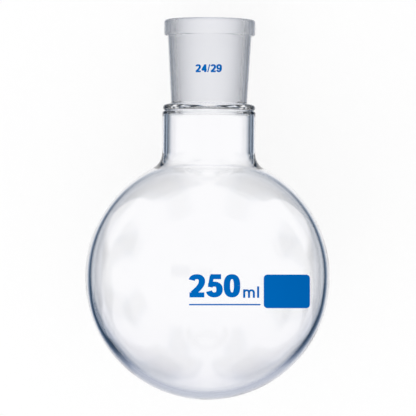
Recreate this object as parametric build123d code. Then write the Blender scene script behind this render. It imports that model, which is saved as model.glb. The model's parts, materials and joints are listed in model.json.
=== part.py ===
from build123d import *
import math
import os

# A short-necked round-bottom flask of borosilicate glass, 250 ml, with a ground socket.
# Lengths are in millimetres. The section is drawn in the flask's own frame, with the
# bulb's centre at zero and the axis running up through the mouth. The finished flask is
# then laid down as it comes to rest on a bench, on its bulb and on the edge of its rim.

# Bulb
BULB_DIAMETER = 85.0
BULB_WALL_SIDE = 1.8
BULB_BORE_RAISE = 0.5  # blown with more glass below: wall 2.3 at the bottom, 1.3 on top

# Neck
NECK_STEP = 3.0  # neck's outside beyond the foot of the socket
NECK_WALL = 2.0
NECK_RISE = 15.6  # neck's top above the bulb's top
NECK_CORNER = 1.2
SHOULDER_RADIUS = 6.0  # sweep from the neck into the bulb, outside
SHOULDER_BORE_RADIUS = 8.0  # the same sweep, inside

# Bead of fused glass between the neck and the socket
BEAD_SETBACK = 0.2  # bead's edge inside the neck's
BEAD_SECTION = 1.2  # radius of the bead's round edge
BEAD_RISE = 0.75  # bead's middle above the neck's top
BEAD_FLARE = 0.9  # sweep from the bead up into the socket

# Ground socket, an inside cone that narrows by one in ten
GROUND_MOUTH_DIAMETER = 24.0
GROUND_LENGTH = 29.0
GROUND_TAPER = 0.1
GROUND_STANDOFF = 2.3  # end of the ground cone above the neck's top
SOCKET_WALL_TOP = 2.85
SOCKET_WALL_FOOT = 2.7
FLARE_DEPTH = 1.3  # inside, start of the flare below the neck's top
FLARE_TOP_RADIUS = 2.0
FLARE_FOOT_RADIUS = 2.4

# Rim
RIM_WALL = 3.9
RIM_HEIGHT = 5.6
RIM_CORNER = 0.9
RIM_LIP = 0.8  # inner edge of the mouth
RIM_UNDERCUT = 0.35  # sweep from the rim's lower face into the socket

# Heights above the bulb's centre
BULB_RADIUS = BULB_DIAMETER / 2
NECK_TOP = BULB_RADIUS + NECK_RISE
BEAD_HEIGHT = NECK_TOP + BEAD_RISE
SOCKET_FOOT = BEAD_HEIGHT + BEAD_SECTION
GROUND_FOOT = NECK_TOP + GROUND_STANDOFF
MOUTH_HEIGHT = GROUND_FOOT + GROUND_LENGTH
RIM_FOOT = MOUTH_HEIGHT - RIM_HEIGHT
NECK_BORE_TOP = NECK_TOP - FLARE_DEPTH


def ground_radius(height):
    """Radius of the ground cone at a height above the bulb's centre."""
    return (GROUND_MOUTH_DIAMETER - GROUND_TAPER * (MOUTH_HEIGHT - height)) / 2


# Radii
RIM_RADIUS = ground_radius(MOUTH_HEIGHT) + RIM_WALL
SOCKET_TOP_RADIUS = ground_radius(RIM_FOOT) + SOCKET_WALL_TOP
SOCKET_FOOT_RADIUS = ground_radius(SOCKET_FOOT) + SOCKET_WALL_FOOT
NECK_RADIUS = SOCKET_FOOT_RADIUS + NECK_STEP
NECK_BORE_RADIUS = NECK_RADIUS - NECK_WALL
BEAD_CENTRE_RADIUS = NECK_RADIUS - BEAD_SETBACK - BEAD_SECTION
BULB_BORE_RADIUS = BULB_RADIUS - BULB_WALL_SIDE


def half_disc(radius, height):
    """The half of a disc on the axis that lies on the outer side."""
    disc = Pos(0, height) * Circle(radius)
    side = Pos(0, height) * Rectangle(radius, 2 * radius, align=(Align.MIN, Align.CENTER))
    return disc & side


def column(radius, foot, top):
    """A rectangle from the axis out to the radius."""
    return Pos(0, foot) * Rectangle(radius, top - foot, align=(Align.MIN, Align.MIN))


def cone(foot_radius, foot, top_radius, top):
    """Half section of a cone, from the axis out."""
    return Polygon((0, foot), (foot_radius, foot), (top_radius, top), (0, top), align=None)


def near(face, radius, height):
    """The corner of a section nearest to a point."""
    return min(face.vertices(), key=lambda v: math.hypot(v.X - radius, v.Y - height))


def tube_on_ball(face, radius, ball_radius, ball_height):
    """The corner of a section where a tube leaves a ball."""
    return near(face, radius, ball_height + math.sqrt(ball_radius**2 - radius**2))


def outer_section():
    """Half section of the flask as if it were solid glass."""
    neck = column(NECK_RADIUS, 0, NECK_TOP)
    neck = fillet(near(neck, NECK_RADIUS, NECK_TOP), NECK_CORNER)
    body = half_disc(BULB_RADIUS, 0) + neck
    body = fillet(tube_on_ball(body, NECK_RADIUS, BULB_RADIUS, 0), SHOULDER_RADIUS)

    bead = Pos(BEAD_CENTRE_RADIUS, BEAD_HEIGHT) * Circle(BEAD_SECTION)
    bead += column(BEAD_CENTRE_RADIUS, BEAD_HEIGHT - BEAD_SECTION, BEAD_HEIGHT + BEAD_SECTION)
    socket = cone(SOCKET_FOOT_RADIUS, SOCKET_FOOT, SOCKET_TOP_RADIUS, RIM_FOOT)
    rim = column(RIM_RADIUS, RIM_FOOT, MOUTH_HEIGHT)
    rim = fillet(near(rim, RIM_RADIUS, MOUTH_HEIGHT), RIM_CORNER)
    rim = fillet(near(rim, RIM_RADIUS, RIM_FOOT), RIM_CORNER)

    whole = body + bead + socket + rim
    whole = fillet(near(whole, SOCKET_FOOT_RADIUS, SOCKET_FOOT), BEAD_FLARE)
    return fillet(near(whole, SOCKET_TOP_RADIUS, RIM_FOOT), RIM_UNDERCUT)


def inner_section():
    """Half section of the flask's inside, from the bulb's floor to the mouth."""
    hollow = half_disc(BULB_BORE_RADIUS, BULB_BORE_RAISE)
    hollow += column(NECK_BORE_RADIUS, 0, NECK_BORE_TOP)
    shoulder = tube_on_ball(hollow, NECK_BORE_RADIUS, BULB_BORE_RADIUS, BULB_BORE_RAISE)
    hollow = fillet(shoulder, SHOULDER_BORE_RADIUS)

    foot_radius = ground_radius(GROUND_FOOT)
    hollow += cone(NECK_BORE_RADIUS, NECK_BORE_TOP, foot_radius, GROUND_FOOT)
    hollow += cone(foot_radius, GROUND_FOOT, ground_radius(MOUTH_HEIGHT), MOUTH_HEIGHT)
    hollow = fillet(near(hollow, NECK_BORE_RADIUS, NECK_BORE_TOP), FLARE_FOOT_RADIUS)
    return fillet(near(hollow, foot_radius, GROUND_FOOT), FLARE_TOP_RADIUS)


def resting_dip():
    """Angle by which the mouth dips when the bulb and the rim's edge both touch a bench.

    In the section the bulb and the rim's rounded edge are two circles, and the bench is
    a line that touches both. The dip is that line's slope against the flask's axis.
    """
    edge_radius = RIM_RADIUS - RIM_CORNER
    edge_height = MOUTH_HEIGHT - RIM_CORNER
    reach = math.hypot(edge_radius, edge_height)
    slope = math.asin((BULB_RADIUS - RIM_CORNER) / reach)
    return math.degrees(slope - math.atan2(edge_radius, edge_height))


glass = outer_section() - inner_section()
glass = fillet(near(glass, ground_radius(MOUTH_HEIGHT), MOUTH_HEIGHT), RIM_LIP)
upright = revolve(Plane.XZ * glass, Axis.Z, 360)

# The mouth points along +Y and dips, and the printed front faces up.
laid = Pos(0, 0, BULB_RADIUS) * Rot(-90 - resting_dip(), 0, 0) * upright
box = laid.bounding_box()
flask = Pos(0, -box.center().Y, 0) * laid

os.makedirs("parts", exist_ok=True)
export_step(flask, "parts/flask.step")
print("dip", round(resting_dip(), 3), "degrees")
print("glass", round(flask.volume), "mm3, centre of mass", flask.center(CenterOf.MASS))
print("box", flask.bounding_box())
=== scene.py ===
"""A 250 ml round-bottom flask of drawn borosilicate glass, lying on a pale bench."""

import json
import math

import bpy
import numpy as np
from bpy.props import FloatProperty, FloatVectorProperty, PointerProperty, StringProperty
from bpy.types import Operator, Panel, PropertyGroup
from mathutils import Matrix


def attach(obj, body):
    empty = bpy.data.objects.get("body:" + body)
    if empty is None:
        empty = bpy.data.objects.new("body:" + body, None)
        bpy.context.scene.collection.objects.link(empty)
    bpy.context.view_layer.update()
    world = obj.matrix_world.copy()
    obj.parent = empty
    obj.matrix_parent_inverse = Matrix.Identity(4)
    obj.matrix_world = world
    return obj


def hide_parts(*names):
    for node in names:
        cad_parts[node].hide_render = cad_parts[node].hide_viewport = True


bl_info = {
    "name": "Round-bottom flask",
    "version": (1, 0, 0),
    "blender": (4, 5, 0),
    "location": "3D view > Sidebar > Flask",
    "description": "Dresses the flask's frame with glass, enamel print and a studio",
    "category": "Object",
}

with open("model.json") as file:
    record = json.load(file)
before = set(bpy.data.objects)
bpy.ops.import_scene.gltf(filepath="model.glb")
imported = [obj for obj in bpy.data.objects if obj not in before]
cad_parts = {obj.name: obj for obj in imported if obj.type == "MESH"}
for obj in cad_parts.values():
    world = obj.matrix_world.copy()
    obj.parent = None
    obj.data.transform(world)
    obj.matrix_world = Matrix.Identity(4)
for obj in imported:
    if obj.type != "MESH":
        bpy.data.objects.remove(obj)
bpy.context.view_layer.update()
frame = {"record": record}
MM = 0.001


def mount(name):
    """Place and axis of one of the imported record's mounts."""
    found = next(m for m in frame["record"]["mounts"] if m["name"] == name)
    return np.array(found["pos_m"], float), np.array(found["axis"], float)


# Real sizes of the section that a user wouldn't change, in metres
BULB_RADIUS = 42.5 * MM
BULB_BORE_RAISE = 0.5 * MM
SHOULDER_RADIUS = 6.0 * MM
SHOULDER_BORE_RADIUS = 8.0 * MM
NECK_TOP = BULB_RADIUS + 15.6 * MM
NECK_CORNER = 1.2 * MM
BEAD_SETBACK = 0.2 * MM
BEAD_SECTION = 1.2 * MM
BEAD_RISE = 0.75 * MM
BEAD_FLARE = 0.9 * MM
GROUND_TAPER = 0.1
GROUND_STANDOFF = 2.3 * MM
SOCKET_WALL_TOP = 2.85 * MM
SOCKET_WALL_FOOT = 2.7 * MM
FLARE_DEPTH = 1.3 * MM
FLARE_TOP_RADIUS = 2.0 * MM
FLARE_FOOT_RADIUS = 2.4 * MM
RIM_WALL = 3.9 * MM
RIM_HEIGHT = 5.6 * MM
RIM_CORNER = 0.9 * MM
RIM_LIP = 0.8 * MM
RIM_UNDERCUT = 0.35 * MM

# Surface of the glass and the print, in metres
WAVE_LENGTH = 14 * MM
WAVE_HEIGHT = 0.03 * MM
RING_WIDTH = 0.9 * MM
GRIT_WIDTH = 0.25 * MM
GRIT_HEIGHT = 0.01 * MM
RING_DEPTH = 3.0  # of the rings against the grit
GROUND_ROUGHNESS = 0.42
GROUND_VARIATION = 0.16
SCREEN_PITCH = 0.12 * MM
SCREEN_HEIGHT = 0.004 * MM
ENAMEL_ROUGHNESS = 0.35
ENAMEL_VARIATION = 0.2

GLASS_IOR = 1.474
CLEAR_LAMP_SHARE = 0.92  # of a lamp's light that passes the clear glass
GROUND_LAMP_SHARE = 0.8
AROUND = 192  # steps of the surface round the axis

# Colours behind the glass, by the angle that it has bent a ray, as a share of the span
FLAG_SPAN = 60.0
FLAG_STOPS = (
    (6 / 60, "#FFFFFF"),
    (50 / 60, "#141F2A"),
    (10 / 60, "#FAFAFC"),
    (15 / 60, "#F2F3F6"),
    (19 / 60, "#DCE0E7"),
    (21 / 60, "#9DAABE"),
    (24 / 60, "#5F7691"),
    (28 / 60, "#33475B"),
    (34 / 60, "#33475B"),
    (37 / 60, "#A9B5C4"),
    (41 / 60, "#A9B5C4"),
    (44 / 60, "#33475B"),
)
TABLE_STOPS = (
    (3 / 60, "#FFFFFF"),
    (23 / 60, "#C8CDD9"),
    (9 / 60, "#F6F6F9"),
    (15 / 60, "#E7E9EF"),
)

# Places of the cards and flags behind the glass, by a ray's angles in degrees. A pair
# gives where a change starts and where it ends.
LOW_FLAG_IN = (3, 12)
LOW_FLAG_OUT = (28, 16)
LOW_FLAG_TURN = (-10, 10)
LOW_FLAG_NEARER = (10, 6)
FLAG_WIDENING = 0.001
FLAG_END_HEIGHTS = (8, 20)
FLAG_ENDS = (66, 34)
FLAG_END_FADE = (0, 4, 1, 0)
CARD_SPACING = 45.0
SIDE_STRETCH = 1.5
MIRRORED_SHARE = 0.7

# The same by the downward part of a ray of length one
FRONT_IN = (0.36, 0.5)
SKY_IN = (-0.12, -0.3)

# The bench and the lamp
BENCH_REACH = 4.0
BENCH_GREY = 0.93
BENCH_OWN_LIGHT = 0.8
LAMP_PLACE = (-0.5, -0.3, 0.9)
LAMP_WIDTH = 0.7
LAMP_POWER = 3.0

# The flask's own directions: along its axis to the mouth, out of its printed front, across
SEAT = mount("bulb_seat")[0]
ALONG = mount("ground_socket")[1]
UP = np.array([0.0, 0.0, 1.0])
FRONT = (UP - ALONG * (UP @ ALONG)) / np.linalg.norm(UP - ALONG * (UP @ ALONG))
ACROSS = np.cross(ALONG, FRONT)
CENTRE = SEAT + ALONG * BULB_RADIUS

# The photograph's framing
PICTURE_PIXELS = 416
PIXEL = 85.0 * MM / 244.5  # the bulb's 85 mm over its width in the photograph
BULB_PIXEL = (208.2, 277.2)  # the bulb's centre

# Lower left and upper right corner of each part of the print, in the photograph's pixels
NUMBER_PIXELS = ((188.7, 297.4), (240.3, 274.2))
UNIT_PIXELS = ((243.1, 297.8), (259.2, 286.3))
JOINT_PIXELS = ((195.4, 72.2), (221.9, 64.2))
RULE_PIXELS = ((189.0, 305.3), (260.5, 303.9))
PATCH_PIXELS = ((263.7, 308.1), (309.8, 274.5))
RULE_CORNER = 0.2 * MM
PATCH_CORNER = 1.3 * MM
SIGN_GAP = 0.09
UNIT_GAP = 0.2


def linear(code):
    """An sRGB hex colour as linear RGBA.

    A channel c is c / 12.92 up to 0.04045, and ((c + 0.055) / 1.055) ** 2.4 above it.
    """
    values = [int(code[i : i + 2], 16) / 255 for i in (1, 3, 5)]
    return (*(v / 12.92 if v <= 0.04045 else ((v + 0.055) / 1.055) ** 2.4 for v in values), 1.0)


def place(across, along, front):
    """Row points from distances to the bulb's centre along the flask's own directions."""
    return (
        CENTRE
        + np.multiply.outer(across, ACROSS)
        + np.multiply.outer(along, ALONG)
        + np.multiply.outer(front, FRONT)
    )


class FLASK_PG_glass(PropertyGroup):
    """Sizes and colours of the glass."""

    bulb_wall: FloatProperty(
        name="Bulb wall", description="Wall at the bulb's side", default=1.8 * MM, unit="LENGTH"
    )
    neck_step: FloatProperty(
        name="Neck step",
        description="Neck's outside beyond the foot of the socket",
        default=3.0 * MM,
        unit="LENGTH",
    )
    neck_wall: FloatProperty(
        name="Neck wall", description="Wall of the neck", default=2.0 * MM, unit="LENGTH"
    )
    mouth_radius: FloatProperty(
        name="Mouth radius",
        description="Radius of the ground cone at the mouth",
        default=12.0 * MM,
        unit="LENGTH",
    )
    ground_length: FloatProperty(
        name="Ground length",
        description="Length of the ground cone",
        default=29.0 * MM,
        unit="LENGTH",
    )
    clear_colour: FloatVectorProperty(
        name="Glass",
        description="What the clear glass lets through",
        default=linear("#FDFDFE")[:3],
        size=3,
        subtype="COLOR",
        min=0,
        max=1,
    )
    ground_colour: FloatVectorProperty(
        name="Ground glass",
        description="What the ground cone lets through",
        default=linear("#F8F8FA")[:3],
        size=3,
        subtype="COLOR",
        min=0,
        max=1,
    )


class FLASK_PG_print(PropertyGroup):
    """Words, sizes and colour of the enamel print."""

    capacity: StringProperty(name="Capacity", description="Number on the bulb", default="250")
    unit: StringProperty(name="Unit", description="Unit after the number", default="ml")
    joint: StringProperty(name="Joint", description="Number on the socket", default="24/29")
    enamel: FloatVectorProperty(
        name="Enamel",
        description="Colour of the fired print",
        default=linear("#0064B5")[:3],
        size=3,
        subtype="COLOR",
        min=0,
        max=1,
    )
    thickness: FloatProperty(
        name="Thickness", description="Enamel on the glass", default=0.04 * MM, unit="LENGTH"
    )


class FLASK_PG_stage(PropertyGroup):
    """The bench, the light and the camera."""

    distance: FloatProperty(
        name="Camera distance",
        description="From the flask's axis to the camera",
        default=0.97,
        unit="LENGTH",
    )
    roll: FloatProperty(
        name="Camera roll",
        description="Lean of the flask to the right in the picture",
        default=math.radians(0.5),
        subtype="ANGLE",
    )
    daylight: FloatProperty(
        name="Daylight", description="Strength of the room's light", default=0.9, min=0
    )


def arc(centre, radius, start, end, spacing=0.6 * MM):
    """Points along an arc with both its ends, the angles in degrees.

    A point is centre + radius * (cos angle, sin angle), at even steps of the angle.
    """
    length = abs(math.radians(end - start)) * radius
    angle = np.radians(np.linspace(start, end, max(4, math.ceil(length / spacing) + 1)))
    return np.asarray(centre) + radius * np.column_stack([np.cos(angle), np.sin(angle)])


def bearing(vector):
    """Angle of a vector of the section, in degrees."""
    return math.degrees(math.atan2(vector[1], vector[0]))


def rounded(corners, radii, spacing=0.2 * MM):
    """A path of straight runs whose inner corners are arcs.

    An arc of radius r leaves a run r * tan(turn / 2) before the corner, and its centre
    lies r beside that point, on the side that the path turns to.
    """
    corners = np.asarray(corners, float)
    parts = [corners[:1]]
    for before, corner, after, radius in zip(corners, corners[1:], corners[2:], radii):
        into = (corner - before) / np.linalg.norm(corner - before)
        out = (after - corner) / np.linalg.norm(after - corner)
        turn = math.acos(into @ out)
        side = math.copysign(1, into[0] * out[1] - into[1] * out[0])
        start = corner - into * radius * math.tan(turn / 2)
        centre = start + side * radius * np.array([-into[1], into[0]])
        first = bearing(start - centre)
        parts.append(arc(centre, radius, first, first + side * math.degrees(turn), spacing))
    return np.vstack([*parts, corners[-1:]])


def divided(path, spacing):
    """The path with each run cut into even steps no longer than the spacing."""
    runs = np.linalg.norm(np.diff(path, axis=0), axis=1)
    path = path[np.concatenate([[True], runs > 1e-7])]
    runs = np.linalg.norm(np.diff(path, axis=0), axis=1)
    steps = np.maximum(1, np.ceil(runs / spacing).astype(int))
    first = np.repeat(np.arange(len(runs)), steps)
    share = np.concatenate([np.arange(n) / n for n in steps])
    return np.vstack([path[first] + (path[first + 1] - path[first]) * share[:, None], path[-1:]])


def ball_and_tube(ball_radius, ball_height, tube_radius, sweep):
    """Centre of the sweep between a ball and a tube, and its bearing from the ball.

    The centre is the ball's radius and the sweep's from the ball's centre, and the
    sweep's radius outside the tube.
    """
    radius = tube_radius + sweep
    rise = math.sqrt((ball_radius + sweep) ** 2 - radius**2)
    return (radius, ball_height + rise), bearing((radius, rise))


def section(glass):
    """Half section of the glass, from the bottom's outside over the rim to its inside.

    Points are (distance from the axis, height over the bulb's centre). Returns them with
    the heights between which the inside is ground.
    """
    ground_foot = NECK_TOP + GROUND_STANDOFF
    mouth = ground_foot + glass.ground_length

    def ground(height):
        return glass.mouth_radius - GROUND_TAPER / 2 * (mouth - height)

    bead_height = NECK_TOP + BEAD_RISE
    bead_top = bead_height + BEAD_SECTION
    socket_foot = ground(bead_top) + SOCKET_WALL_FOOT
    rim_foot = mouth - RIM_HEIGHT
    socket_top = ground(rim_foot) + SOCKET_WALL_TOP
    rim_radius = ground(mouth) + RIM_WALL
    neck = socket_foot + glass.neck_step
    bore = neck - glass.neck_wall
    ball_bore = BULB_RADIUS - glass.bulb_wall

    sweep, outer_turn = ball_and_tube(BULB_RADIUS, 0, neck, SHOULDER_RADIUS)
    inner_sweep, inner_turn = ball_and_tube(
        ball_bore, BULB_BORE_RAISE, bore, SHOULDER_BORE_RADIUS
    )

    # The neck's rounded top and the bead are two like circles that cross in a groove.
    corner = np.array([neck - NECK_CORNER, NECK_TOP - NECK_CORNER])
    bead = np.array([neck - BEAD_SETBACK - BEAD_SECTION, bead_height])
    apart = bead - corner
    reach = math.sqrt(BEAD_SECTION**2 - apart @ apart / 4)
    groove = (corner + bead) / 2 + reach * np.array([apart[1], -apart[0]]) / np.linalg.norm(apart)

    outside = [
        arc((0, 0), BULB_RADIUS, -90, outer_turn, 0.8 * MM),
        arc(sweep, SHOULDER_RADIUS, outer_turn + 180, 180, 0.3 * MM),
        arc(corner, NECK_CORNER, 0, bearing(groove - corner), 0.15 * MM),
        arc(bead, BEAD_SECTION, bearing(groove - bead), 90, 0.15 * MM),
    ]
    socket = rounded(
        [
            (bead[0], bead_top),
            (socket_foot, bead_top),
            (socket_top, rim_foot),
            (rim_radius, rim_foot),
            (rim_radius, mouth),
            (glass.mouth_radius, mouth),
            (ground(ground_foot), ground_foot),
            (bore, NECK_TOP - FLARE_DEPTH),
            (bore, inner_sweep[1]),
        ],
        [BEAD_FLARE, RIM_UNDERCUT, RIM_CORNER, RIM_CORNER, RIM_LIP,
         FLARE_TOP_RADIUS, FLARE_FOOT_RADIUS],
    )
    inside = [
        arc(inner_sweep, SHOULDER_BORE_RADIUS, 180, 180 + inner_turn, 0.4 * MM),
        arc((0, BULB_BORE_RAISE), ball_bore, inner_turn, -90, 0.8 * MM),
    ]
    path = divided(np.vstack([*outside, socket, *inside]), 1.0 * MM)
    path[[0, -1], 0] = 0
    return path, ground_foot, mouth - RIM_LIP / 2


def new_piece(name, points, faces):
    """A mesh piece that rides on the frame's one body."""
    mesh = bpy.data.meshes.new(name)
    mesh.from_pydata(points, [], faces)
    mesh.validate()
    piece = bpy.data.objects.new(name, mesh)
    bpy.context.scene.collection.objects.link(piece)
    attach(piece, "root")
    return piece


def turned(path, around):
    """Points and faces of the path turned round the flask's axis.

    A point at angle t is radius * cos t across and radius * sin t to the front. The
    path's two ends lie on the axis, and each is one point.
    """
    angle = np.linspace(0, 2 * np.pi, around, endpoint=False)
    radius, height = path[1:-1, 0], path[1:-1, 1]
    ring = place(
        np.outer(radius, np.cos(angle)),
        np.repeat(height[:, None], around, axis=1),
        np.outer(radius, np.sin(angle)),
    )
    ends = place(np.zeros(2), path[[0, -1], 1], np.zeros(2))
    points = np.vstack([ring.reshape(-1, 3), ends])
    rows = np.arange(len(radius) - 1)[:, None] * around
    here = np.arange(around)
    there = np.roll(here, -1)
    quads = np.stack([rows + here, rows + around + here, rows + around + there, rows + there], -1)
    last = (len(radius) - 1) * around
    first_cap = np.column_stack([np.full(around, len(points) - 2), here, there])
    last_cap = np.column_stack([np.full(around, len(points) - 1), last + there, last + here])
    return points, quads.reshape(-1, 4).tolist() + first_cap.tolist() + last_cap.tolist()


def node(tree, kind, inputs=None, out=0, stops=None, **settings):
    """Adds a node with its settings, values and links, and gives back one of its outputs.

    Inputs are given in order, or by name or number. Each is a value or the output of
    another node. A ramp's stops are pairs of a position and a colour.
    """
    made = tree.nodes.new("ShaderNode" + kind)
    for name, value in settings.items():
        setattr(made, name, value)
    given = inputs if isinstance(inputs, dict) else dict(enumerate(inputs or ()))
    for name, value in given.items():
        if isinstance(value, bpy.types.NodeSocket):
            tree.links.new(value, made.inputs[name])
        else:
            made.inputs[name].default_value = value
    for index, (position, colour) in enumerate(stops or ()):
        elements = made.color_ramp.elements
        element = elements[index] if index < 2 else elements.new(position)
        element.position = position
        element.color = linear(colour)
    return made.outputs[out] if made.outputs else None


def new_material(name):
    """An empty node material."""
    material = bpy.data.materials.new(name)
    material.use_nodes = True
    material.node_tree.nodes.clear()
    return material


def lamps_pass(tree, shader, share):
    """Sets the surface to the shader, and lets a share of each lamp's light through it."""
    shadow = node(tree, "LightPath", out="Is Shadow Ray")
    part = node(tree, "Math", (shadow, share), operation="MULTIPLY")
    clear = node(tree, "BsdfTransparent")
    surface = node(tree, "MixShader", (part, shader, clear))
    node(tree, "OutputMaterial", {"Surface": surface})


def drawn_glass(glass):
    """Borosilicate glass, drawn and blown in a flame.

    The fire leaves it brilliant and perfectly smooth to the touch, with a faint waviness
    in the wall that makes the lines along its edges wander in width.
    """
    material = new_material("borosilicate_glass_fire_polished")
    tree = material.node_tree
    where = node(tree, "TexCoord", out="Object")
    wave = node(tree, "TexNoise", {"Vector": where, "Scale": 1 / WAVE_LENGTH, "Detail": 1.0})
    bump = node(tree, "Bump", {"Distance": WAVE_HEIGHT, "Height": wave})
    shader = node(
        tree,
        "BsdfPrincipled",
        {
            "Base Color": (*glass.clear_colour, 1),
            "Roughness": 0.0,
            "IOR": GLASS_IOR,
            "Transmission Weight": 1.0,
            "Normal": bump,
        },
    )
    lamps_pass(tree, shader, CLEAR_LAMP_SHARE)
    return material


def ground_glass(glass):
    """The same glass ground with a coarse grit and then a fine one.

    It scatters what passes, so the socket looks frosted. The turning tool leaves rings,
    drawn here a little wider than the grit is, so that they show.
    """
    material = new_material("borosilicate_glass_ground")
    tree = material.node_tree
    where = node(tree, "TexCoord", out="Object")
    height = node(tree, "VectorMath", (where, tuple(ALONG)), "Value", operation="DOT_PRODUCT")
    ring = node(
        tree,
        "TexNoise",
        {"W": height, "Scale": 1 / RING_WIDTH, "Detail": 3.0},
        noise_dimensions="1D",
    )
    grit = node(tree, "TexNoise", {"Vector": where, "Scale": 1 / GRIT_WIDTH, "Detail": 2.0})
    spread = (ring, GROUND_VARIATION, GROUND_ROUGHNESS)
    rough = node(tree, "Math", spread, operation="MULTIPLY_ADD")
    both = node(tree, "Math", (ring, RING_DEPTH, grit), operation="MULTIPLY_ADD")
    bump = node(tree, "Bump", {"Distance": GRIT_HEIGHT, "Height": both})
    shader = node(
        tree,
        "BsdfPrincipled",
        {
            "Base Color": (*glass.ground_colour, 1),
            "Roughness": rough,
            "IOR": GLASS_IOR,
            "Transmission Weight": 1.0,
            "Normal": bump,
        },
    )
    lamps_pass(tree, shader, GROUND_LAMP_SHARE)
    return material


def enamel(words):
    """Ceramic ink screened on and fired: an even blue with the dull gloss of fired glaze."""
    material = new_material("ceramic_enamel_fired")
    tree = material.node_tree
    where = node(tree, "TexCoord", out="Object")
    mesh = node(tree, "TexNoise", {"Vector": where, "Scale": 1 / SCREEN_PITCH, "Detail": 1.0})
    spread = (mesh, ENAMEL_VARIATION, ENAMEL_ROUGHNESS)
    rough = node(tree, "Math", spread, operation="MULTIPLY_ADD")
    bump = node(tree, "Bump", {"Distance": SCREEN_HEIGHT, "Height": mesh})
    shader = node(
        tree,
        "BsdfPrincipled",
        {
            "Base Color": (*words.enamel, 1),
            "Roughness": rough,
            "Specular IOR Level": 0.0,
            "Normal": bump,
        },
    )
    node(tree, "OutputMaterial", {"Surface": shader})
    return material


class FLASK_OT_glass(Operator):
    """Blow the flask: one closed surface of revolution with a ground inner cone"""

    bl_idname = "flask.glass"
    bl_label = "Glass"

    def execute(self, context):
        glass = context.scene.flask_glass
        path, ground_foot, ground_top = section(glass)
        points, faces = turned(path, AROUND)
        piece = new_piece("flask_glass", points, faces)
        mesh = piece.data
        mesh.materials.append(drawn_glass(glass))
        mesh.materials.append(ground_glass(glass))
        middle = (path[1:-2] + path[2:-1]) / 2
        beyond = np.arange(len(middle)) > np.argmax(path[:, 1])
        ground = beyond & (middle[:, 1] > ground_foot) & (middle[:, 1] < ground_top)
        index = np.zeros(len(mesh.polygons), np.int32)
        index[: len(middle) * AROUND] = np.repeat(ground, AROUND)
        mesh.polygons.foreach_set("material_index", index)
        mesh.polygons.foreach_set("use_smooth", np.ones(len(index), bool))
        mesh.update()
        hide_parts("flask")
        return {"FINISHED"}


def front_of(across, along):
    """How far the glass stands to the front at a place of the print.

    On the bulb it is the root of radius² - across² - along², and on the socket the root
    of the outer cone's radius² at that height - across².
    """
    glass = bpy.context.scene.flask_glass
    mouth = NECK_TOP + GROUND_STANDOFF + glass.ground_length
    bead_top = NECK_TOP + BEAD_RISE + BEAD_SECTION
    rim_foot = mouth - RIM_HEIGHT
    foot = glass.mouth_radius - GROUND_TAPER / 2 * (mouth - bead_top) + SOCKET_WALL_FOOT
    top = glass.mouth_radius - GROUND_TAPER / 2 * (mouth - rim_foot) + SOCKET_WALL_TOP
    cone = foot + (top - foot) * (along - bead_top) / (rim_foot - bead_top)
    ball = BULB_RADIUS**2 - along**2
    return np.sqrt(np.where(along > NECK_TOP, cone**2, ball) - across**2)


def view_middle():
    """Place, across and along, that the middle of the picture shows."""
    x, y = BULB_PIXEL
    return np.array([PICTURE_PIXELS / 2 - x, y - PICTURE_PIXELS / 2]) * PIXEL


def at_pixel(x, y):
    """Place on the picture, across and along, of a pixel of the photograph."""
    return np.array([x - BULB_PIXEL[0], BULB_PIXEL[1] - y]) * PIXEL


def behind(across, along):
    """Real places, across and along, of the points that the picture shows at some places.

    A thing that stands nearer to the camera by its distance to the front looks larger in
    that share, so its real size is smaller. The picture is also turned by the roll.
    """
    stage = bpy.context.scene.flask_stage
    near = 1 - front_of(across, along) / stage.distance
    middle_across, middle_along = view_middle()
    right, up = near * (across - middle_across), near * (along - middle_along)
    cos, sin = math.cos(stage.roll), math.sin(stage.roll)
    return middle_across + right * cos - up * sin, middle_along + right * sin + up * cos


def stroke(path, upright=0.285, level=0.225):
    """A stroke of a letter as a grid: a ribbon carried along a path.

    Its width is the root of (upright * rise)² + (level * run)² for a step of the path of
    length one, so that strokes that stand are wider than those that lie.
    """
    path = np.asarray(path, float)
    ahead = np.gradient(path, axis=0)
    ahead /= np.linalg.norm(ahead, axis=1)[:, None]
    width = np.hypot(upright * ahead[:, 1], level * ahead[:, 0])
    right = np.column_stack([ahead[:, 1], -ahead[:, 0]]) * width[:, None]
    return path[:, None, :] + right[:, None, :] * np.array([-0.5, 0.0, 0.5])[None, :, None]


def line(start, end, count=9):
    """Points along a straight line."""
    return np.linspace(start, end, count)


def bend(start, control, end, count=12):
    """Points along a curve with one control point: (1-t)² start + 2t(1-t) control + t² end."""
    t = np.linspace(0, 1, count)[:, None]
    return (1 - t) ** 2 * start + 2 * t * (1 - t) * np.array(control) + t**2 * np.array(end)


def loop(centre, reach, start, end, square=2.3, count=40):
    """Points along a squarish oval: each part of the circle to the power 2 / square."""
    angle = np.radians(np.linspace(start, end, count))
    round_ = np.column_stack([np.cos(angle), np.sin(angle)])
    return np.array(centre) + np.array(reach) * np.sign(round_) * np.abs(round_) ** (2 / square)


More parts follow.
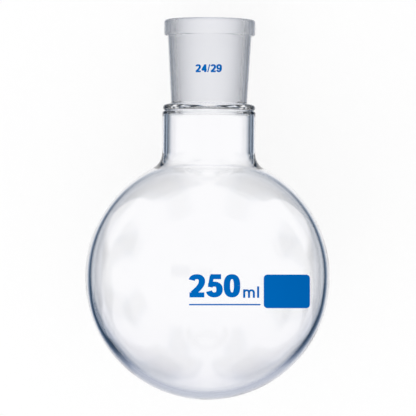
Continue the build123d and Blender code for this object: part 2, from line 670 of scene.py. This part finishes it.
def letter(sign):
    """Strokes of a sign in a plain heavy grotesque, one unit high, and its width."""
    if sign == "0":
        return [stroke(loop((0.34, 0.5), (0.225, 0.405), 0, 360, 2.5, 60))], 0.68
    if sign == "2":
        top = loop((0.345, 0.695), (0.225, 0.21), 168, -18)
        fall = bend(top[-1], (0.5, 0.42), (0.15, 0.15))
        return [
            stroke(np.vstack([top, fall[1:]])),
            stroke(line((0.02, 0.095), (0.68, 0.095))),
        ], 0.69
    if sign == "4":
        return [
            stroke(line((0.5, 0.0), (0.5, 1.0))),
            stroke(line((0.02, 0.3), (0.69, 0.3))),
            stroke(line((0.1, 0.28), (0.5, 0.93))),
        ], 0.7
    if sign == "5":
        bowl = loop((0.335, 0.335), (0.235, 0.24), 142, -166)
        return [
            stroke(line((0.17, 0.905), (0.64, 0.905))),
            stroke(line((0.235, 0.95), (0.145, 0.44)), 0.19),
            stroke(bowl),
        ], 0.69
    if sign == "9":
        return [
            stroke(loop((0.335, 0.67), (0.225, 0.235), 0, 360)),
            stroke(loop((0.3, 0.5), (0.26, 0.405), 22, -150)),
        ], 0.68
    if sign == "/":
        return [stroke(line((0.03, 0.0), (0.29, 1.0)), 0.13)], 0.32
    if sign == "m":
        arches = []
        for x in (0.345, 0.815):
            leg = line((x + 0.235, 0.4), (x + 0.235, 0))
            arches.append(np.vstack([loop((x, 0.42), (0.235, 0.235), 180, 0), leg]))
        return [
            stroke(line((0.11, 0.0), (0.11, 0.74)), 0.21),
            *(stroke(arch, 0.21, 0.17) for arch in arches),
        ], 1.16
    if sign == "l":
        return [stroke(line((0.11, 0.0), (0.11, 1.0)), 0.21)], 0.22
    raise ValueError(f"no strokes for {sign!r}")


def wording(words, low, high, gap=SIGN_GAP):
    """Strokes of some words, set side by side and fitted between two corners."""
    strokes, edge = [], 0.0
    for sign in words:
        drawn, width = letter(sign)
        strokes += [grid + np.array([edge, 0.0]) for grid in drawn]
        edge += width + gap
    least = np.min([grid.min((0, 1)) for grid in strokes], axis=0)
    most = np.max([grid.max((0, 1)) for grid in strokes], axis=0)
    scale = (np.array(high) - low) / (most - least)
    return [low + (grid - least) * scale for grid in strokes]


def plate(low, high, corner):
    """A flat plate with round corners as a grid.

    Its half width at a height y is w - r + the root of r² - (|y| - h + r)² where |y| is
    within r of the half height h, and w elsewhere.
    """
    rows, columns = 41, 49
    middle, half = (np.array(low) + high) / 2, (np.array(high) - low) / 2
    height = half[1] * np.sin(np.radians(np.linspace(-90, 90, rows)))
    into = np.maximum(np.abs(height) - half[1] + corner, 0)
    width = half[0] - corner + np.sqrt(np.maximum(corner**2 - into**2, 0))
    across = width[:, None] * np.linspace(-1, 1, columns)
    return middle + np.stack([across, np.repeat(height[:, None], columns, axis=1)], axis=-1)


def fired(name, grids, material, thickness):
    """Lays flat grids on the glass as closed slabs of enamel, all in one piece.

    Each point moves to the front by the glass's own distance there, so the print looks
    flat from the front. The slab's back lies half its thickness inside the glass.
    """
    points, faces, count = [], [], 0
    for grid in grids:
        rows, columns = grid.shape[:2]
        across, along = behind(grid[..., 0].ravel(), grid[..., 1].ravel())
        depth = front_of(across, along)
        points += [place(across, along, depth - thickness / 2)]
        points += [place(across, along, depth + thickness)]
        index = np.arange(rows * columns).reshape(rows, columns)
        square = np.stack(
            [index[:-1, :-1], index[:-1, 1:], index[1:, 1:], index[1:, :-1]], axis=-1
        ).reshape(-1, 4)
        rim = np.concatenate(
            [index[0, :-1], index[:-1, -1], index[-1, :0:-1], index[:0:-1, 0]]
        )
        after = np.roll(rim, -1)
        size = rows * columns
        walls = np.column_stack([rim, after, after + size, rim + size])
        faces += (np.vstack([square[:, ::-1], square + size, walls]) + count).tolist()
        count += 2 * size
    piece = new_piece(name, np.vstack(points), faces)
    piece.data.materials.append(material)
    return piece


class FLASK_OT_print(Operator):
    """Fire the print onto the glass: capacity, joint size, a rule and a writing patch"""

    bl_idname = "flask.print"
    bl_label = "Print"

    def execute(self, context):
        words = context.scene.flask_print
        blue = enamel(words)
        number, unit, joint, rule, patch = (
            [at_pixel(*corner) for corner in corners]
            for corners in (NUMBER_PIXELS, UNIT_PIXELS, JOINT_PIXELS, RULE_PIXELS, PATCH_PIXELS)
        )
        pieces = {
            "capacity_number": wording(words.capacity, *number),
            "capacity_unit": wording(words.unit, *unit, UNIT_GAP),
            "joint_number": wording(words.joint, *joint),
            "print_rule": [plate(*rule, RULE_CORNER)],
            "writing_patch": [plate(*patch, PATCH_CORNER)],
        }
        for name, grids in pieces.items():
            fired(name, grids, blue, words.thickness)
        return {"FINISHED"}


def behind_front(tree, ray):
    """How far the front's flags take a ray as bent, and its angle below, both in degrees.

    Flags stand to the left and right. The first is the angle to the side, times 1 plus a
    share of the angle above squared, plus some degrees where the flags stand nearer below
    the bulb's middle, and zero beyond a flag's end.
    """
    smooth = {"interpolation_type": "SMOOTHSTEP"}
    aside = node(tree, "VectorMath", (ray, tuple(ACROSS)), "Value", operation="DOT_PRODUCT")
    aside = node(tree, "Math", (aside,), operation="ARCSINE")
    aside = node(tree, "Math", (aside,), operation="DEGREES")
    below = node(tree, "VectorMath", (ray, tuple(-ALONG)), "Value", operation="DOT_PRODUCT")
    below = node(tree, "Math", (below,), operation="ARCSINE")
    below = node(tree, "Math", (below,), operation="DEGREES")

    low_in = node(tree, "MapRange", (below, *LOW_FLAG_IN), **smooth)
    low_out = node(tree, "MapRange", (below, *LOW_FLAG_OUT), **smooth)
    low_flag = node(tree, "Math", (low_in, low_out), operation="MULTIPLY")
    nearer = node(tree, "MapRange", (aside, *LOW_FLAG_TURN, *LOW_FLAG_NEARER), **smooth)
    nearer = node(tree, "Math", (low_flag, nearer), operation="MULTIPLY")

    above = node(tree, "Math", (below, 0.0), operation="MINIMUM")
    above = node(tree, "Math", (above, above), operation="MULTIPLY")
    wider = node(tree, "Math", (above, FLAG_WIDENING, 1.0), operation="MULTIPLY_ADD")
    aside = node(tree, "Math", (aside,), operation="ABSOLUTE")
    bent = node(tree, "Math", (aside, wider, nearer), operation="MULTIPLY_ADD")

    height = node(tree, "Math", (below,), operation="ABSOLUTE")
    end = node(tree, "MapRange", (height, *FLAG_END_HEIGHTS, *FLAG_ENDS), **smooth)
    past = node(tree, "Math", (aside, end), operation="SUBTRACT")
    kept = node(tree, "MapRange", (past, *FLAG_END_FADE), **smooth)
    return node(tree, "Math", (bent, kept), operation="MULTIPLY"), below


def behind_sides(tree, ray, through):
    """How far the flags behind the sides take a ray as bent, in degrees.

    A card stands at each eighth of a turn, with a flag between two cards, so this is the
    angle from the nearest card's middle, stretched. The glass mirrors none of them.
    """
    x = node(tree, "VectorMath", (ray, (1, 0, 0)), "Value", operation="DOT_PRODUCT")
    y = node(tree, "VectorMath", (ray, (0, 1, 0)), "Value", operation="DOT_PRODUCT")
    turn = node(tree, "Math", (x, y), operation="ARCTAN2")
    turn = node(tree, "Math", (turn,), operation="DEGREES")
    turn = node(tree, "Math", (turn, CARD_SPACING / 2), operation="ADD")
    turn = node(tree, "Math", (turn, CARD_SPACING), operation="FLOORED_MODULO")
    turn = node(tree, "Math", (turn, CARD_SPACING / 2), operation="SUBTRACT")
    turn = node(tree, "Math", (turn,), operation="ABSOLUTE")
    turn = node(tree, "Math", (turn, SIDE_STRETCH), operation="MULTIPLY")
    return node(tree, "Math", (turn, through), operation="MULTIPLY")


def studio(stage):
    """The room: pale to the eye, with dark flags beside each pale card behind the glass.

    A ray that the thick edge of the glass has bent by more than about ten degrees misses
    the card and meets a flag, which is what draws glass on a pale background.
    """
    world = bpy.data.worlds.new("studio")
    bpy.context.scene.world = world
    world.use_nodes = True
    tree = world.node_tree
    tree.nodes.clear()
    smooth = {"interpolation_type": "SMOOTHSTEP"}
    ray = node(tree, "TexCoord", out="Generated")
    eye = node(tree, "LightPath", out="Is Camera Ray")
    gloss = node(tree, "LightPath", out="Is Glossy Ray")
    through = node(tree, "LightPath", out="Is Transmission Ray")

    # The front's flags are met by rays that go down, and nothing dark is met above.
    front_bent, below = behind_front(tree, ray)
    side_bent = behind_sides(tree, ray, through)
    down = node(tree, "VectorMath", (ray, (0, 0, -1)), "Value", operation="DOT_PRODUCT")
    front = node(tree, "MapRange", (down, *FRONT_IN), **smooth)
    bent = node(tree, "Mix", {0: front, 2: side_bent, 3: front_bent}, data_type="FLOAT")
    sky = node(tree, "MapRange", (down, *SKY_IN, 1, 0), **smooth)
    bent = node(tree, "Math", (bent, sky), operation="MULTIPLY")

    # What the glass mirrors is paler than what it shows.
    paler = (through, 1 - MIRRORED_SHARE, MIRRORED_SHARE)
    share = node(tree, "Math", paler, operation="MULTIPLY_ADD")
    bent = node(tree, "Math", (bent, share), operation="MULTIPLY")

    # The table's grey grows with the angle below.
    bent = node(tree, "Math", (bent, FLAG_SPAN), operation="DIVIDE")
    cards = node(tree, "ValToRGB", (bent,), stops=FLAG_STOPS)
    below = node(tree, "Math", (below, FLAG_SPAN), operation="DIVIDE")
    below = node(tree, "Math", (below, front), operation="MULTIPLY")
    table = node(tree, "ValToRGB", (below,), stops=TABLE_STOPS)
    colours = {"out": 2, "data_type": "RGBA"}
    shown = node(tree, "Mix", {0: 1.0, 6: cards, 7: table}, blend_type="MULTIPLY", **colours)

    room = (stage.daylight, stage.daylight, stage.daylight, 1)
    light = node(tree, "Mix", {0: eye, 6: room, 7: (1, 1, 1, 1)}, **colours)
    in_glass = node(tree, "Math", (gloss, through), operation="MAXIMUM")
    light = node(tree, "Mix", {0: in_glass, 6: light, 7: shown}, **colours)
    background = node(tree, "Background", {"Color": light, "Strength": 1.0})
    node(tree, "OutputWorld", {"Surface": background})


def bench_top():
    """A pale matt bench that keeps a faint shadow and lets the glass see past it."""
    material = new_material("bench_matt_white")
    tree = material.node_tree
    eye = node(tree, "LightPath", out="Is Camera Ray")
    gloss = node(tree, "LightPath", out="Is Glossy Ray")
    through = node(tree, "LightPath", out="Is Transmission Ray")
    matt = node(tree, "BsdfDiffuse", {"Color": (BENCH_GREY, BENCH_GREY, BENCH_GREY, 1)})
    pale = node(tree, "Emission", {"Color": (1, 1, 1, 1), "Strength": 1.0})
    own_light = node(tree, "Math", (eye, BENCH_OWN_LIGHT), operation="MULTIPLY")
    seen = node(tree, "MixShader", (own_light, matt, pale))
    clear = node(tree, "BsdfTransparent")
    past = node(tree, "Math", (gloss, through), operation="MAXIMUM")
    surface = node(tree, "MixShader", (past, seen, clear))
    node(tree, "OutputMaterial", {"Surface": surface})
    return material


def aim(thing, right, up, back, at):
    """Puts a camera or lamp at a point, with its own X, Y and Z along three directions."""
    matrix = np.eye(4)
    matrix[:3, 0], matrix[:3, 1], matrix[:3, 2], matrix[:3, 3] = right, up, back, at
    thing.matrix_world = Matrix(matrix.tolist())


def new_lamp(name, at, width, power):
    """A square soft lamp that looks at the flask."""
    lamp = bpy.data.lights.new(name, "AREA")
    lamp.shape = "SQUARE"
    lamp.size = width
    lamp.energy = power
    made = bpy.data.objects.new(name, lamp)
    made.visible_glossy = made.visible_transmission = False
    bpy.context.scene.collection.objects.link(made)
    back = np.array(at, float) - CENTRE
    back /= np.linalg.norm(back)
    right = np.cross((0, 1, 0), back)
    right /= np.linalg.norm(right)
    aim(made, right, np.cross(back, right), back, at)
    return made


class FLASK_OT_stage(Operator):
    """Set up the bench, the light and the camera"""

    bl_idname = "flask.stage"
    bl_label = "Stage"

    def execute(self, context):
        stage = context.scene.flask_stage
        context.scene.view_settings.view_transform = "Standard"
        mesh = bpy.data.meshes.new("bench")
        corners = BENCH_REACH * np.array([(-1, -1, 0), (1, -1, 0), (1, 1, 0), (-1, 1, 0)])
        mesh.from_pydata(corners, [], [(0, 1, 2, 3)])
        mesh.materials.append(bench_top())
        bench = bpy.data.objects.new("bench", mesh)
        context.scene.collection.objects.link(bench)
        studio(stage)
        new_lamp("key_lamp", LAMP_PLACE, LAMP_WIDTH, LAMP_POWER)

        view_across, view_height = view_middle()
        at = CENTRE + ALONG * view_height + ACROSS * view_across + FRONT * stage.distance
        camera = bpy.data.cameras.new("camera")
        camera.sensor_fit = "HORIZONTAL"
        camera.angle = 2 * math.atan(PICTURE_PIXELS / 2 * PIXEL / stage.distance)
        camera.clip_start = 0.01
        made = bpy.data.objects.new("camera", camera)
        context.scene.collection.objects.link(made)
        cos, sin = math.cos(stage.roll), math.sin(stage.roll)
        right = ACROSS * cos + ALONG * sin
        up = ALONG * cos - ACROSS * sin
        aim(made, right, up, FRONT, at)
        context.scene.camera = made
        return {"FINISHED"}


class FLASK_PT_panel(Panel):
    """The flask's pieces"""

    bl_idname = "FLASK_PT_panel"
    bl_label = "Round-bottom flask"
    bl_space_type = "VIEW_3D"
    bl_region_type = "UI"
    bl_category = "Flask"

    def draw(self, context):
        for operator in OPERATORS:
            self.layout.operator(operator.bl_idname)
        for group in GROUPS:
            settings = getattr(context.scene, group)
            for name in settings.bl_rna.properties.keys():
                if name not in ("rna_type", "name"):
                    self.layout.prop(settings, name)


GROUPS = {
    "flask_glass": FLASK_PG_glass,
    "flask_print": FLASK_PG_print,
    "flask_stage": FLASK_PG_stage,
}
OPERATORS = (FLASK_OT_glass, FLASK_OT_print, FLASK_OT_stage)


def register():
    """Registers the classes and the scene's settings."""
    for cls in (*GROUPS.values(), *OPERATORS, FLASK_PT_panel):
        bpy.utils.register_class(cls)
    for name, cls in GROUPS.items():
        setattr(bpy.types.Scene, name, PointerProperty(type=cls))


def unregister():
    """Takes the settings and the classes back out."""
    for name in GROUPS:
        delattr(bpy.types.Scene, name)
    for cls in (FLASK_PT_panel, *OPERATORS, *GROUPS.values()):
        bpy.utils.unregister_class(cls)


def main():
    """Makes the flask and its stage."""
    register()
    bpy.ops.flask.glass()
    bpy.ops.flask.print()
    bpy.ops.flask.stage()


if __name__ == "__main__":
    main()
